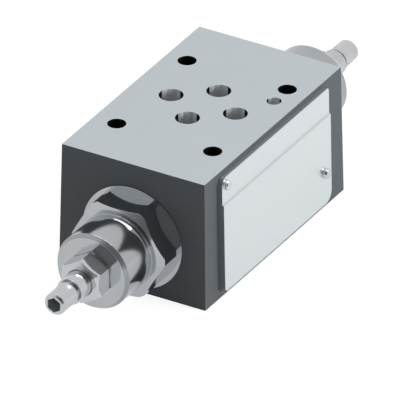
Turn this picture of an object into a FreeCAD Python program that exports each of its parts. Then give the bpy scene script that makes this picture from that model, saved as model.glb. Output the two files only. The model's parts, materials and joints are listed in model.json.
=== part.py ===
import FreeCAD, Part

import math
import os

# Sandwich valve with two screw-in cartridges, one on each end of a cast block.
# Sizes are in millimetres and angles in degrees. The origin lies on the base face, midway
# between ports P and T. X runs along the cartridges, Y across the block and Z up.
# Each cartridge is built along +X from its flange seat at X = 0 and then placed on its end.

# Block
BLOCK_HEIGHT = 40.0
BLOCK_TOP_WIDTH = 46.0
END_A_AT_TOP = 39.0
END_B_AT_TOP = 37.5
SEAT_BOSS_HEIGHT_B = 1.5
CASTING_DRAFT = 1.0
CARTRIDGE_AXIS_HEIGHT = 16.8

# Port pattern, seen from above
BOLT_HOLE_DIAMETER = 5.4
BOLT_PAIR_A_X = -21.5
BOLT_PAIR_A_SPACING = 31.0
BOLT_PAIR_B_X = 19.0
BOLT_PAIR_B_SPACING = 32.5
PORT_DIAMETER = 7.0
PORT_A_X = -8.8
PORT_B_X = 8.7
PORT_P_Y = -10.4
PORT_T_Y = 10.4
PIN_HOLE_DIAMETER = 4.2
PIN_HOLE_DEPTH = 6.0
PIN_HOLE_X = 11.5
PIN_HOLE_Y = -16.25

# Port seals in the base face
SEAL_RECESS_DIAMETER = 12.8
SEAL_RECESS_DEPTH = 1.3
PORT_SEAL_WIRE_DIAMETER = 1.26
PORT_SEAL_BASE_CLEARANCE = 0.02

# Channels between the ports and the cartridges
FEED_DRILL_DIAMETER = 6.4
TANK_CHANNEL_DIAMETER = 3.6
TANK_CHANNEL_Y = 9.0

# Name plate and the raised pad behind it, on the front side of the block
PLATE_LEFT_X = -32.1
PLATE_LENGTH = 59.9
PLATE_TOP_BELOW_BLOCK_TOP = 1.3
PLATE_HEIGHT = 35.9
PLATE_THICKNESS = 0.3
PAD_STAND_OFF_UPPER = 1.3
PAD_STEP = 0.5
JOGGLE_BELOW_BLOCK_TOP = 9.4
JOGGLE_LENGTH = 0.4
PLATE_CORNER_TOP_LEFT = 2.4
PLATE_CORNER_TOP_RIGHT = 1.0
PLATE_CORNER_BOTTOM_RIGHT = 3.5
PLATE_CORNER_BOTTOM_LEFT = 1.5
RIVET_HEAD_DIAMETER = 3.0
RIVET_HEAD_HEIGHT = 1.4
RIVET_HEAD_EDGE_RADIUS = 0.35
RIVET_SHANK_DIAMETER = 1.8
RIVET_SHANK_LENGTH = 4.0
RIVET_LEFT_FROM_PLATE_EDGE = 2.2
RIVET_LEFT_BELOW_BLOCK_TOP = 3.9
RIVET_RIGHT_FROM_PLATE_EDGE = 3.4
RIVET_RIGHT_BELOW_BLOCK_TOP = 27.2

# Clearances
FIT_CLEARANCE = 0.05
LOOSE_CLEARANCE = 0.4
BORE_END_CLEARANCE = 0.5

# How far a cutter runs past the face that it opens
CUT_OVERRUN = 5.0

# Cartridge body: outside
NOSE_DIAMETER = 12.9
NOSE_LENGTH = 7.5
BARREL_DIAMETER = 17.0
BARREL_LENGTH = 5.5
SHANK_DIAMETER = 21.9
SHANK_LENGTH = 13.0
FLANGE_DIAMETER = 31.9
FLANGE_THICKNESS = 0.5
HEAD_ACROSS_FLATS = 27.0
HEAD_CORNER_DIAMETER = 30.1
HEAD_LENGTH = 9.5
HEAD_FACE_DIAMETER = 25.8
CHAMFER_ANGLE = 30.0

# Cartridge body: inside
SEAT_BORE_DEPTH = 4.0
POPPET_BORE_DIAMETER = 8.4
POPPET_BORE_LENGTH = 8.0
SPRING_BORE_DIAMETER = 11.2
CAP_BORE_DIAMETER = 16.0
CAP_BORE_DEPTH = 6.5
CROSS_HOLE_DIAMETER = 2.4
CROSS_HOLE_COUNT = 4
CROSS_HOLE_FROM_SEAT = 4.0

# Cartridge seals
BODY_SEAL_WIRE_DIAMETER = 1.76
BODY_SEAL_GROOVE_WIDTH = 2.4
BODY_SEAL_GROOVE_FROM_FLANGE = 0.5
NOSE_SEAL_WIRE_DIAMETER = 1.44
NOSE_SEAL_GROOVE_WIDTH = 2.6
NOSE_SEAL_GROOVE_FROM_TIP = 2.0
BACKUP_RING_WIDTH = 1.0

# Valve seat and poppet
SEAT_INSERT_DIAMETER = 8.0
SEAT_HOLE_DIAMETER = 3.8
SEAT_CONTACT_GAP = 0.03
POPPET_CONE_HALF_ANGLE = 30.0
POPPET_TIP_DIAMETER = 1.6
POPPET_SHAFT_DIAMETER = 5.2
POPPET_SHAFT_END_FROM_SEAT = 5.6
POPPET_LAND_LENGTH = 3.4
POPPET_FLANGE_DIAMETER = 10.4
POPPET_FLANGE_THICKNESS = 1.0
SPRING_GUIDE_LENGTH_POPPET = 3.0

# Pressure spring and spring plate
SPRING_WIRE_DIAMETER = 1.2
SPRING_MEAN_DIAMETER = 8.8
SPRING_TURNS = 4.5
SPRING_END_GAP = 0.02
SPRING_PLATE_DIAMETER = 10.8
SPRING_PLATE_THICKNESS = 2.0
SPRING_PLATE_BOSS_DIAMETER = 6.0
SPRING_PLATE_BOSS_LENGTH = 1.0
SPRING_GUIDE_LENGTH_PLATE = 1.5

# End cap
CAP_DIAMETER = 23.26
CAP_LENGTH = 13.7
CAP_LIP_DIAMETER = 23.9
CAP_LIP_THICKNESS = 0.4
CAP_END_CHAMFER_LENGTH = 1.25
CAP_END_FACE_DIAMETER = 21.6
CAP_COLLAR_BORE_END_FROM_FACE = 1.5

# Adjusting spindle
THREAD_DIAMETER = 8.0
SPINDLE_OUTWARD_TRAVEL = 1.0
SPINDLE_TIP_DIAMETER = 5.0
SPINDLE_TIP_LENGTH = 2.0
SPINDLE_COLLAR_DIAMETER = 10.0
SPINDLE_COLLAR_LENGTH = 2.0
SPINDLE_SEAL_FROM_CAP_FACE = 5.5
SPINDLE_SEAL_WIRE_DIAMETER = 0.98
SPINDLE_SEAL_GROOVE_WIDTH = 1.4
THREAD_BEYOND_NUT = 5.5
STEM_GROOVE_WIDTH = 1.1
STEM_GROOVE_DIAMETER = 5.9
STEM_SHOULDER_DIAMETER = 6.95
STEM_SHOULDER_LENGTH = 0.7
STEM_CONE_LENGTH = 0.4
STEM_END_DIAMETER = 6.6
STEM_END_LENGTH = 5.65
STEM_END_CHAMFER_LENGTH = 0.65
STEM_END_FACE_DIAMETER = 5.5
SOCKET_ACROSS_FLATS = 4.0
SOCKET_DEPTH = 4.0

# Lock nut
NUT_ACROSS_FLATS = 12.0
NUT_HEIGHT = 6.5
NUT_FACE_DIAMETER = 11.0
NUT_COUNTERSINK_DIAMETER = 8.5

SEAT_X = {"a": END_A_AT_TOP, "b": END_B_AT_TOP + SEAT_BOSS_HEIGHT_B}
SEAT_FACE_DIAMETER = FLANGE_DIAMETER + 2 * FIT_CLEARANCE

# Stations along a cartridge, from its flange seat outwards
TIP_S = -(SHANK_LENGTH + BARREL_LENGTH + NOSE_LENGTH)
SEAT_FACE_S = TIP_S + SEAT_BORE_DEPTH
SPRING_BORE_S = SEAT_FACE_S + POPPET_BORE_LENGTH
CAP_BORE_S = HEAD_LENGTH - CAP_BORE_DEPTH
CAP_END_S = HEAD_LENGTH + CAP_LENGTH
NUT_END_S = CAP_END_S + NUT_HEIGHT
COLLAR_STOP_S = HEAD_LENGTH - CAP_COLLAR_BORE_END_FROM_FACE
COLLAR_END_S = COLLAR_STOP_S - SPINDLE_OUTWARD_TRAVEL
COLLAR_START_S = COLLAR_END_S - SPINDLE_COLLAR_LENGTH
SPINDLE_TIP_S = COLLAR_START_S - SPINDLE_TIP_LENGTH
PLATE_FACE_S = SPINDLE_TIP_S - SPRING_PLATE_BOSS_LENGTH - SPRING_PLATE_THICKNESS
POPPET_FLANGE_S = SEAT_FACE_S + POPPET_SHAFT_END_FROM_SEAT + POPPET_LAND_LENGTH
POPPET_FLANGE_END_S = POPPET_FLANGE_S + POPPET_FLANGE_THICKNESS
SPRING_GUIDE_DIAMETER = SPRING_MEAN_DIAMETER - SPRING_WIRE_DIAMETER - 2 * LOOSE_CLEARANCE


def slope(angle):
    """Rise per unit of run at an angle given in degrees."""
    return math.tan(math.radians(angle))


def polygon_face(points):
    """Flat face bounded by straight edges through 3-D points."""
    return Part.Face(Part.makePolygon(points + [points[0]]))


def turned(outline):
    """Solid turned about X from a closed outline of (station, diameter) points."""
    points = [FreeCAD.Vector(station, 0, diameter / 2) for station, diameter in outline]
    return polygon_face(points).revolve(FreeCAD.Vector(), FreeCAD.Vector(1, 0, 0), 360)


def bar(start, end, diameter, y=0.0, z=0.0):
    """Round bar along X."""
    length = end - start
    return Part.makeCylinder(diameter / 2, length, FreeCAD.Vector(start, y, z), FreeCAD.Vector(1, 0, 0))


def post(x, y, bottom, top, diameter):
    """Round bar along Z."""
    return Part.makeCylinder(diameter / 2, top - bottom, FreeCAD.Vector(x, y, bottom))


def hex_bar(start, end, across_flats, corner_angle):
    """Hexagonal bar along X, with a corner at an angle counted from +Y towards +Z."""
    corner_radius = across_flats / 2 / math.cos(math.radians(30))
    points = []
    for index in range(6):
        angle = math.radians(corner_angle + 60 * index)
        points.append(FreeCAD.Vector(start, corner_radius * math.cos(angle), corner_radius * math.sin(angle)))
    return polygon_face(points).extrude(FreeCAD.Vector(end - start, 0, 0))


def ring(station, groove_floor_diameter, wire_diameter):
    """Seal ring lying on a groove's floor, centred at a station along X."""
    major = (groove_floor_diameter + wire_diameter) / 2
    centre = FreeCAD.Vector(station, 0, 0)
    return Part.makeTorus(major, wire_diameter / 2, centre, FreeCAD.Vector(1, 0, 0))


def place(shape, side):
    """Move a piece built on the flange seat to its end of the block."""
    placed = shape.copy()
    if side == "a":
        placed.rotate(FreeCAD.Vector(), FreeCAD.Vector(0, 0, 1), 180)
        placed.translate(FreeCAD.Vector(-SEAT_X["a"], 0, CARTRIDGE_AXIS_HEIGHT))
    else:
        placed.translate(FreeCAD.Vector(SEAT_X["b"], 0, CARTRIDGE_AXIS_HEIGHT))
    return placed


def export(name, *solids):
    """Write one sub-part, as one solid or as a group of solids."""
    shape = solids[0] if len(solids) == 1 else Part.makeCompound(list(solids))
    shape.exportStep("parts/" + name + ".step")


def drafted_block():
    """Cast block outside, wider at the base by the draft."""
    spread = BLOCK_HEIGHT * slope(CASTING_DRAFT)
    half_width = BLOCK_TOP_WIDTH / 2

    def outline(height, growth):
        left = -END_A_AT_TOP - growth
        right = END_B_AT_TOP + growth
        side = half_width + growth
        corners = [(left, -side), (right, -side), (right, side), (left, side), (left, -side)]
        return Part.makePolygon([FreeCAD.Vector(x, y, height) for x, y in corners])

    return Part.makeLoft([outline(0, spread), outline(BLOCK_HEIGHT, 0)], True, True)


def front_face_y(height):
    """Y of the block's drafted front side at a height."""
    return -BLOCK_TOP_WIDTH / 2 - (BLOCK_HEIGHT - height) * slope(CASTING_DRAFT)


def plate_outline_prism():
    """Rounded outline of the name plate, as a prism through the front side."""
    left = PLATE_LEFT_X
    right = left + PLATE_LENGTH
    top = BLOCK_HEIGHT - PLATE_TOP_BELOW_BLOCK_TOP
    bottom = top - PLATE_HEIGHT
    corners = [
        (left, bottom, 1, 0, PLATE_CORNER_BOTTOM_LEFT),
        (right, bottom, 0, 1, PLATE_CORNER_BOTTOM_RIGHT),
        (right, top, -1, 0, PLATE_CORNER_TOP_RIGHT),
        (left, top, 0, -1, PLATE_CORNER_TOP_LEFT),
    ]
    edges = []
    arcs = []
    for x, z, leave_x, leave_z, radius in corners:
        # The outline arrives along the direction turned back by a quarter turn.
        arrive_x, arrive_z = leave_z, -leave_x
        start = FreeCAD.Vector(x - arrive_x * radius, 0, z - arrive_z * radius)
        finish = FreeCAD.Vector(x + leave_x * radius, 0, z + leave_z * radius)
        reach = radius * (1 - math.sqrt(0.5))
        middle = FreeCAD.Vector(x + (leave_x - arrive_x) * reach, 0, z + (leave_z - arrive_z) * reach)
        arcs.append((start, middle, finish))
    for index, (start, middle, finish) in enumerate(arcs):
        edges.append(Part.Arc(start, middle, finish).toShape())
        edges.append(Part.LineSegment(finish, arcs[(index + 1) % 4][0]).toShape())
    face = Part.Face(Part.Wire(edges))
    return face.extrude(FreeCAD.Vector(0, -BLOCK_TOP_WIDTH, 0))


def joggled_section(near, far_upper, far_lower):
    """Slab along the whole front side between two drafted surfaces with the joggle.

    near is None for a slab that starts inside the block, or a pair of stand-offs.
    """
    top = BLOCK_HEIGHT - PLATE_TOP_BELOW_BLOCK_TOP
    bottom = top - PLATE_HEIGHT
    upper_end = BLOCK_HEIGHT - JOGGLE_BELOW_BLOCK_TOP
    lower_start = upper_end - JOGGLE_LENGTH
    x = PLATE_LEFT_X

    def surface(stand_off_upper, stand_off_lower):
        stations = [
            (top, stand_off_upper),
            (upper_end, stand_off_upper),
            (lower_start, stand_off_lower),
            (bottom, stand_off_lower),
        ]
        return [FreeCAD.Vector(x, front_face_y(z) - stand_off, z) for z, stand_off in stations]

    outer = surface(far_upper, far_lower)
    if near is None:
        root_y = -BLOCK_TOP_WIDTH / 2 + CUT_OVERRUN
        inner = [FreeCAD.Vector(x, root_y, z) for z in (bottom, top)]
    else:
        inner = list(reversed(surface(near[0], near[1])))
    return polygon_face(outer + inner).extrude(FreeCAD.Vector(PLATE_LENGTH, 0, 0))


PAD_STAND_OFF_LOWER = PAD_STAND_OFF_UPPER + PAD_STEP


def plate_pad():
    """Raised pad cast on the front side, behind the name plate."""
    slab = joggled_section(None, PAD_STAND_OFF_UPPER, PAD_STAND_OFF_LOWER)
    return slab.common(plate_outline_prism())


def rivet_places():
    """Head centres of the two rivets, on the plate's outer surface."""
    upper = PAD_STAND_OFF_UPPER + PLATE_THICKNESS
    lower = PAD_STAND_OFF_LOWER + PLATE_THICKNESS
    left_z = BLOCK_HEIGHT - RIVET_LEFT_BELOW_BLOCK_TOP
    right_z = BLOCK_HEIGHT - RIVET_RIGHT_BELOW_BLOCK_TOP
    left_x = PLATE_LEFT_X + RIVET_LEFT_FROM_PLATE_EDGE
    right_x = PLATE_LEFT_X + PLATE_LENGTH - RIVET_RIGHT_FROM_PLATE_EDGE
    return [
        FreeCAD.Vector(left_x, front_face_y(left_z) - upper, left_z),
        FreeCAD.Vector(right_x, front_face_y(right_z) - lower, right_z),
    ]


def outward():
    """Direction out of the drafted front side."""
    draft = math.radians(CASTING_DRAFT)
    return FreeCAD.Vector(0, -math.cos(draft), math.sin(draft))


def rivet_hole(centre):
    """Hole for a rivet's shank, through the plate and into the pad."""
    start = centre + outward() * CUT_OVERRUN
    length = RIVET_SHANK_LENGTH + CUT_OVERRUN
    return Part.makeCylinder(RIVET_SHANK_DIAMETER / 2, length, start, outward() * -1)


def name_plate():
    """Bare sheet on the pad, with the same joggle."""
    upper = PAD_STAND_OFF_UPPER + PLATE_THICKNESS
    lower = PAD_STAND_OFF_LOWER + PLATE_THICKNESS
    sheet = joggled_section((PAD_STAND_OFF_UPPER, PAD_STAND_OFF_LOWER), upper, lower)
    sheet = sheet.common(plate_outline_prism())
    for centre in rivet_places():
        sheet = sheet.cut(rivet_hole(centre))
    return sheet


def rivet(centre):
    """Rivet with a flat-topped head on the plate, rounded at its outer edge."""
    head = Part.makeCylinder(RIVET_HEAD_DIAMETER / 2, RIVET_HEAD_HEIGHT, centre, outward())
    outer_edge = max(head.Edges, key=lambda edge: (edge.CenterOfMass - centre).dot(outward()))
    head = head.makeFillet(RIVET_HEAD_EDGE_RADIUS, [outer_edge])
    shank = Part.makeCylinder(RIVET_SHANK_DIAMETER / 2, RIVET_SHANK_LENGTH, centre, outward() * -1)
    return head.fuse(shank).removeSplitter()


def bore_cutter():
    """Stepped bore for a cartridge, from the flange seat inwards."""
    thread_bore_end = -(SHANK_LENGTH + BARREL_LENGTH + BORE_END_CLEARANCE)
    nose_bore_end = TIP_S - BORE_END_CLEARANCE
    thread_bore = bar(thread_bore_end, CUT_OVERRUN, SHANK_DIAMETER + 2 * FIT_CLEARANCE)
    nose_bore = bar(nose_bore_end, 0.0, NOSE_DIAMETER + 2 * FIT_CLEARANCE)
    return thread_bore.fuse(nose_bore)


def valve_block():
    """Block with ports, bolt holes, cartridge bores, channels and the plate pad."""
    block = drafted_block()
    axis_z = CARTRIDGE_AXIS_HEIGHT
    boss = bar(END_B_AT_TOP - CUT_OVERRUN, SEAT_X["b"], SEAT_FACE_DIAMETER, 0, axis_z)
    spot_face = bar(-SEAT_X["a"] - CUT_OVERRUN, -SEAT_X["a"], SEAT_FACE_DIAMETER, 0, axis_z)
    block = block.fuse([boss, plate_pad()]).cut(spot_face)

    below = -CUT_OVERRUN
    above = BLOCK_HEIGHT + CUT_OVERRUN
    cutters = [place(bore_cutter(), "a"), place(bore_cutter(), "b")]
    for x, spacing in ((BOLT_PAIR_A_X, BOLT_PAIR_A_SPACING), (BOLT_PAIR_B_X, BOLT_PAIR_B_SPACING)):
        for y in (-spacing / 2, spacing / 2):
            cutters.append(post(x, y, below, above, BOLT_HOLE_DIAMETER))
    for x, y in port_places():
        cutters.append(post(x, y, below, above, PORT_DIAMETER))
        cutters.append(post(x, y, below, SEAL_RECESS_DEPTH, SEAL_RECESS_DIAMETER))
    cutters.append(post(PIN_HOLE_X, PIN_HOLE_Y, BLOCK_HEIGHT - PIN_HOLE_DEPTH, above, PIN_HOLE_DIAMETER))

    cutters.append(bar(-SEAT_X["a"] - TIP_S, PORT_A_X, FEED_DRILL_DIAMETER, 0, axis_z))
    cutters.append(bar(PORT_B_X, SEAT_X["b"] + TIP_S, FEED_DRILL_DIAMETER, 0, axis_z))
    shoulder_a = -SEAT_X["a"] + SHANK_LENGTH + BARREL_LENGTH
    shoulder_b = SEAT_X["b"] - SHANK_LENGTH - BARREL_LENGTH
    cutters.append(bar(shoulder_a, shoulder_b, TANK_CHANNEL_DIAMETER, TANK_CHANNEL_Y, axis_z))
    for centre in rivet_places():
        cutters.append(rivet_hole(centre))
    return block.cut(cutters).removeSplitter()


def port_places():
    """Centres of ports A, B, P and T."""
    return [(PORT_A_X, 0.0), (PORT_B_X, 0.0), (0.0, PORT_P_Y), (0.0, PORT_T_Y)]


def port_seal(x, y):
    """Seal ring lying in the recess round a port, just clear of the base plane."""
    wire = PORT_SEAL_WIRE_DIAMETER
    major = (SEAL_RECESS_DIAMETER - wire) / 2 - FIT_CLEARANCE
    centre = FreeCAD.Vector(x, y, PORT_SEAL_BASE_CLEARANCE + wire / 2)
    return Part.makeTorus(major, wire / 2, centre, FreeCAD.Vector(0, 0, 1))


BODY_GROOVE_FLOOR = SHANK_DIAMETER - 2 * BODY_SEAL_WIRE_DIAMETER + FIT_CLEARANCE
NOSE_GROOVE_FLOOR = NOSE_DIAMETER - 2 * NOSE_SEAL_WIRE_DIAMETER + FIT_CLEARANCE
SPINDLE_DIAMETER = THREAD_DIAMETER - 2 * FIT_CLEARANCE
SPINDLE_GROOVE_FLOOR = SPINDLE_DIAMETER - 2 * SPINDLE_SEAL_WIRE_DIAMETER + FIT_CLEARANCE


def end_chamfer(diameter, face_diameter):
    """Length of a turned chamfer between a diameter and its end face."""
    return (diameter - face_diameter) / 2 * slope(CHAMFER_ANGLE)


def large_hexagon():
    """Hexagon between the flange and the end cap, turned to its corner diameter and chamfered."""
    chamfer_start = HEAD_LENGTH - end_chamfer(HEAD_CORNER_DIAMETER, HEAD_FACE_DIAMETER)
    envelope = turned([
        (0, 0),
        (0, HEAD_CORNER_DIAMETER),
        (chamfer_start, HEAD_CORNER_DIAMETER),
        (HEAD_LENGTH, HEAD_FACE_DIAMETER),
        (HEAD_LENGTH, 0),
    ])
    # Two corners of the hexagon lie level with the axis, so two of its flats face up and down.
    return hex_bar(0, HEAD_LENGTH, HEAD_ACROSS_FLATS, 0).common(envelope)


def cartridge_body():
    """Screw-in body: nose, barrel, shank, flange and hexagon, with the stepped bore."""
    barrel_start = TIP_S + NOSE_LENGTH
    shank_start = barrel_start + BARREL_LENGTH
    nose_groove = TIP_S + NOSE_SEAL_GROOVE_FROM_TIP
    body_groove_end = -BODY_SEAL_GROOVE_FROM_FLANGE
    body_groove = body_groove_end - BODY_SEAL_GROOVE_WIDTH
    body = turned([
        (TIP_S, 0),
        (TIP_S, NOSE_DIAMETER),
        (nose_groove, NOSE_DIAMETER),
        (nose_groove, NOSE_GROOVE_FLOOR),
        (nose_groove + NOSE_SEAL_GROOVE_WIDTH, NOSE_GROOVE_FLOOR),
        (nose_groove + NOSE_SEAL_GROOVE_WIDTH, NOSE_DIAMETER),
        (barrel_start, NOSE_DIAMETER),
        (barrel_start, BARREL_DIAMETER),
        (shank_start, BARREL_DIAMETER),
        (shank_start, SHANK_DIAMETER),
        (body_groove, SHANK_DIAMETER),
        (body_groove, BODY_GROOVE_FLOOR),
        (body_groove_end, BODY_GROOVE_FLOOR),
        (body_groove_end, SHANK_DIAMETER),
        (0, SHANK_DIAMETER),
        (0, FLANGE_DIAMETER),
        (FLANGE_THICKNESS, FLANGE_DIAMETER),
        (FLANGE_THICKNESS, 0),
    ])
    seat_bore = SEAT_INSERT_DIAMETER + 2 * FIT_CLEARANCE
    bores = turned([
        (TIP_S - CUT_OVERRUN, 0),
        (TIP_S - CUT_OVERRUN, seat_bore),
        (SEAT_FACE_S, seat_bore),
        (SEAT_FACE_S, POPPET_BORE_DIAMETER),
        (SPRING_BORE_S, POPPET_BORE_DIAMETER),
        (SPRING_BORE_S, SPRING_BORE_DIAMETER),
        (CAP_BORE_S, SPRING_BORE_DIAMETER),
        (CAP_BORE_S, CAP_BORE_DIAMETER),
        (HEAD_LENGTH + CUT_OVERRUN, CAP_BORE_DIAMETER),
        (HEAD_LENGTH + CUT_OVERRUN, 0),
    ])
    body = body.fuse(large_hexagon()).cut(bores)
    station = SEAT_FACE_S + CROSS_HOLE_FROM_SEAT
    for index in range(CROSS_HOLE_COUNT):
        angle = math.radians(360 / CROSS_HOLE_COUNT * index)
        direction = FreeCAD.Vector(0, math.cos(angle), math.sin(angle))
        start = FreeCAD.Vector(station, 0, 0)
        body = body.cut(Part.makeCylinder(CROSS_HOLE_DIAMETER / 2, SHANK_DIAMETER, start, direction))
    return body.removeSplitter()


def body_seal():
    """Seal ring in the shank's groove, under the flange."""
    station = -BODY_SEAL_GROOVE_FROM_FLANGE - BODY_SEAL_GROOVE_WIDTH / 2
    return ring(station, BODY_GROOVE_FLOOR, BODY_SEAL_WIRE_DIAMETER)


def nose_seal():
    """Seal ring in the nose's groove, on its tip side."""
    free_width = NOSE_SEAL_GROOVE_WIDTH - BACKUP_RING_WIDTH
    station = TIP_S + NOSE_SEAL_GROOVE_FROM_TIP + free_width / 2
    return ring(station, NOSE_GROOVE_FLOOR, NOSE_SEAL_WIRE_DIAMETER)


def nose_backup():
    """Flat backup ring beside the nose's seal ring."""
    end = TIP_S + NOSE_SEAL_GROOVE_FROM_TIP + NOSE_SEAL_GROOVE_WIDTH
    start = end - BACKUP_RING_WIDTH
    return bar(start, end, NOSE_DIAMETER).cut(bar(start, end, NOSE_GROOVE_FLOOR))


def valve_seat():
    """Hardened seat insert in the nose."""
    insert = bar(TIP_S, SEAT_FACE_S, SEAT_INSERT_DIAMETER)
    return insert.cut(bar(TIP_S, SEAT_FACE_S, SEAT_HOLE_DIAMETER))


def poppet():
    """Poppet with cone, shaft, guide land, spring flange and spring guide."""
    spread = 2 * slope(POPPET_CONE_HALF_ANGLE)
    edge_station = SEAT_FACE_S + SEAT_CONTACT_GAP
    cone_start = edge_station - (SEAT_HOLE_DIAMETER - POPPET_TIP_DIAMETER) / spread
    cone_end = edge_station + (POPPET_SHAFT_DIAMETER - SEAT_HOLE_DIAMETER) / spread
    land_start = SEAT_FACE_S + POPPET_SHAFT_END_FROM_SEAT
    land_diameter = POPPET_BORE_DIAMETER - 2 * FIT_CLEARANCE
    guide_end = POPPET_FLANGE_END_S + SPRING_GUIDE_LENGTH_POPPET
    return turned([
        (cone_start, 0),
        (cone_start, POPPET_TIP_DIAMETER),
        (cone_end, POPPET_SHAFT_DIAMETER),
        (land_start, POPPET_SHAFT_DIAMETER),
        (land_start, land_diameter),
        (POPPET_FLANGE_S, land_diameter),
        (POPPET_FLANGE_S, POPPET_FLANGE_DIAMETER),
        (POPPET_FLANGE_END_S, POPPET_FLANGE_DIAMETER),
        (POPPET_FLANGE_END_S, SPRING_GUIDE_DIAMETER),
        (guide_end, SPRING_GUIDE_DIAMETER),
        (guide_end, 0),
    ])


def pressure_spring():
    """Coil spring of tilted half rings, which meet in line, between poppet and spring plate."""
    radius = SPRING_MEAN_DIAMETER / 2
    start = POPPET_FLANGE_END_S + SPRING_WIRE_DIAMETER / 2 + SPRING_END_GAP
    end = PLATE_FACE_S - SPRING_WIRE_DIAMETER / 2 - SPRING_END_GAP
    half_turns = round(2 * SPRING_TURNS)
    rise = (end - start) / half_turns
    pieces = []
    for index in range(half_turns):
        side = 1 if index % 2 == 0 else -1
        station = start + rise * index
        section = Part.makeCircle(
            SPRING_WIRE_DIAMETER / 2, FreeCAD.Vector(station, 0, side * radius), FreeCAD.Vector(0, 1, 0)
        )
        centre = FreeCAD.Vector(station + rise / 2, 0, 0)
        axis = FreeCAD.Vector(2 * radius, 0, side * rise)
        pieces.append(Part.Face(Part.Wire(section)).revolve(centre, axis, 180))
    return pieces[0].fuse(pieces[1:]).removeSplitter().Solids[0]


def spring_plate():
    """Plate between the spring and the spindle's tip."""
    boss_start = PLATE_FACE_S + SPRING_PLATE_THICKNESS
    return turned([
        (PLATE_FACE_S - SPRING_GUIDE_LENGTH_PLATE, 0),
        (PLATE_FACE_S - SPRING_GUIDE_LENGTH_PLATE, SPRING_GUIDE_DIAMETER),
        (PLATE_FACE_S, SPRING_GUIDE_DIAMETER),
        (PLATE_FACE_S, SPRING_PLATE_DIAMETER),
        (boss_start, SPRING_PLATE_DIAMETER),
        (boss_start, SPRING_PLATE_BOSS_DIAMETER),
        (SPINDLE_TIP_S, SPRING_PLATE_BOSS_DIAMETER),
        (SPINDLE_TIP_S, 0),
    ])


def end_cap():
    """Cap screwed into the hexagon, bored for the spindle and its collar."""
    inner_end = CAP_BORE_S + FIT_CLEARANCE
    spigot_diameter = CAP_BORE_DIAMETER - 2 * FIT_CLEARANCE
    return turned([
        (inner_end, SPRING_BORE_DIAMETER),
        (inner_end, spigot_diameter),
        (HEAD_LENGTH, spigot_diameter),
        (HEAD_LENGTH, CAP_LIP_DIAMETER),
        (HEAD_LENGTH + CAP_LIP_THICKNESS, CAP_LIP_DIAMETER),
        (HEAD_LENGTH + CAP_LIP_THICKNESS, CAP_DIAMETER),
        (CAP_END_S - CAP_END_CHAMFER_LENGTH, CAP_DIAMETER),
        (CAP_END_S, CAP_END_FACE_DIAMETER),
        (CAP_END_S, THREAD_DIAMETER),
        (COLLAR_STOP_S, THREAD_DIAMETER),
        (COLLAR_STOP_S, SPRING_BORE_DIAMETER),
    ])


SPINDLE_SEAL_S = HEAD_LENGTH + SPINDLE_SEAL_FROM_CAP_FACE


def adjusting_spindle():
    """Spindle with inner tip, collar, seal groove, grooved stem and hexagon socket."""
    seal_start = SPINDLE_SEAL_S - SPINDLE_SEAL_GROOVE_WIDTH / 2
    seal_end = SPINDLE_SEAL_S + SPINDLE_SEAL_GROOVE_WIDTH / 2
    groove_start = NUT_END_S + THREAD_BEYOND_NUT
    shoulder_start = groove_start + STEM_GROOVE_WIDTH
    shoulder_end = shoulder_start + STEM_SHOULDER_LENGTH
    cone_end = shoulder_end + STEM_CONE_LENGTH
    chamfer_start = cone_end + STEM_END_LENGTH
    end = chamfer_start + STEM_END_CHAMFER_LENGTH
    stem = turned([
        (SPINDLE_TIP_S, 0),
        (SPINDLE_TIP_S, SPINDLE_TIP_DIAMETER),
        (COLLAR_START_S, SPINDLE_TIP_DIAMETER),
        (COLLAR_START_S, SPINDLE_COLLAR_DIAMETER),
        (COLLAR_END_S, SPINDLE_COLLAR_DIAMETER),
        (COLLAR_END_S, SPINDLE_DIAMETER),
        (seal_start, SPINDLE_DIAMETER),
        (seal_start, SPINDLE_GROOVE_FLOOR),
        (seal_end, SPINDLE_GROOVE_FLOOR),
        (seal_end, SPINDLE_DIAMETER),
        (groove_start, SPINDLE_DIAMETER),
        (groove_start, STEM_GROOVE_DIAMETER),
        (shoulder_start, STEM_GROOVE_DIAMETER),
        (shoulder_start, STEM_SHOULDER_DIAMETER),
        (shoulder_end, STEM_SHOULDER_DIAMETER),
        (cone_end, STEM_END_DIAMETER),
        (chamfer_start, STEM_END_DIAMETER),
        (end, STEM_END_FACE_DIAMETER),
        (end, 0),
    ])
    return stem.cut(hex_bar(end - SOCKET_DEPTH, end + CUT_OVERRUN, SOCKET_ACROSS_FLATS, 30))


def lock_nut():
    """Hexagon nut against the end cap, chamfered on both sides."""
    middle = CAP_END_S + NUT_HEIGHT / 2
    corner_diameter = NUT_ACROSS_FLATS / math.cos(math.radians(30))
    envelope = turned([
        (middle, 0),
        (middle, corner_diameter),
        (NUT_END_S - end_chamfer(corner_diameter, NUT_FACE_DIAMETER), corner_diameter),
        (NUT_END_S, NUT_FACE_DIAMETER),
        (NUT_END_S, 0),
    ])
    outer_half = hex_bar(middle, NUT_END_S, NUT_ACROSS_FLATS, 30).common(envelope)
    inner_half = outer_half.mirror(FreeCAD.Vector(middle, 0, 0), FreeCAD.Vector(1, 0, 0))
    sink = (NUT_COUNTERSINK_DIAMETER - THREAD_DIAMETER) / 2
    bore = turned([
        (CAP_END_S - CUT_OVERRUN, 0),
        (CAP_END_S - CUT_OVERRUN, NUT_COUNTERSINK_DIAMETER),
        (CAP_END_S, NUT_COUNTERSINK_DIAMETER),
        (CAP_END_S + sink, THREAD_DIAMETER),
        (NUT_END_S - sink, THREAD_DIAMETER),
        (NUT_END_S, NUT_COUNTERSINK_DIAMETER),
        (NUT_END_S + CUT_OVERRUN, NUT_COUNTERSINK_DIAMETER),
        (NUT_END_S + CUT_OVERRUN, 0),
    ])
    return outer_half.fuse(inner_half).cut(bore).removeSplitter()


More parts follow.
